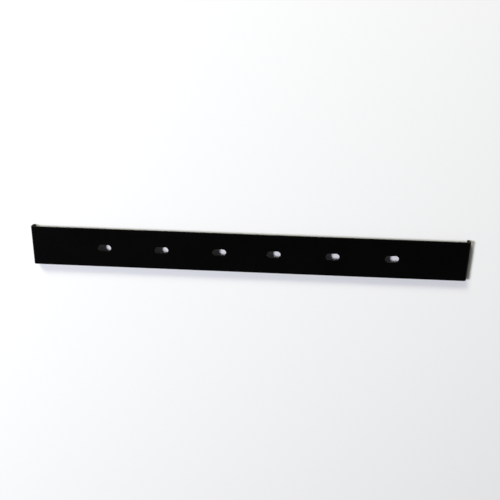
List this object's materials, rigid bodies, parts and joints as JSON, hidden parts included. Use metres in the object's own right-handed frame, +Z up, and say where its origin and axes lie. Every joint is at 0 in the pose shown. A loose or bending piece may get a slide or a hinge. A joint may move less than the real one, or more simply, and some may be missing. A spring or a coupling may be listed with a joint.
{
  "type": "pegboard tool holder",
  "caption": "Black sheet-steel rail folded back at both ends, with hook tabs for a slotted panel and a row of obround slots for tool hangers.",
  "frame": {"origin": "on the face of the panel that the rail hangs on, half way along the rail, level with the lower ends of the panel's slots, where both hook tabs sit", "axes": "+X along the rail, to the right as seen from the front; +Y into the wall; +Z up"},
  "size_m": [0.3572, 0.0118, 0.0333],
  "materials": {
    "powder_coat": "fine-textured satin black powder coat"
  },
  "bodies": {
    "root": {"tool_rail": "powder_coat"}
  },
  "joints": []
}
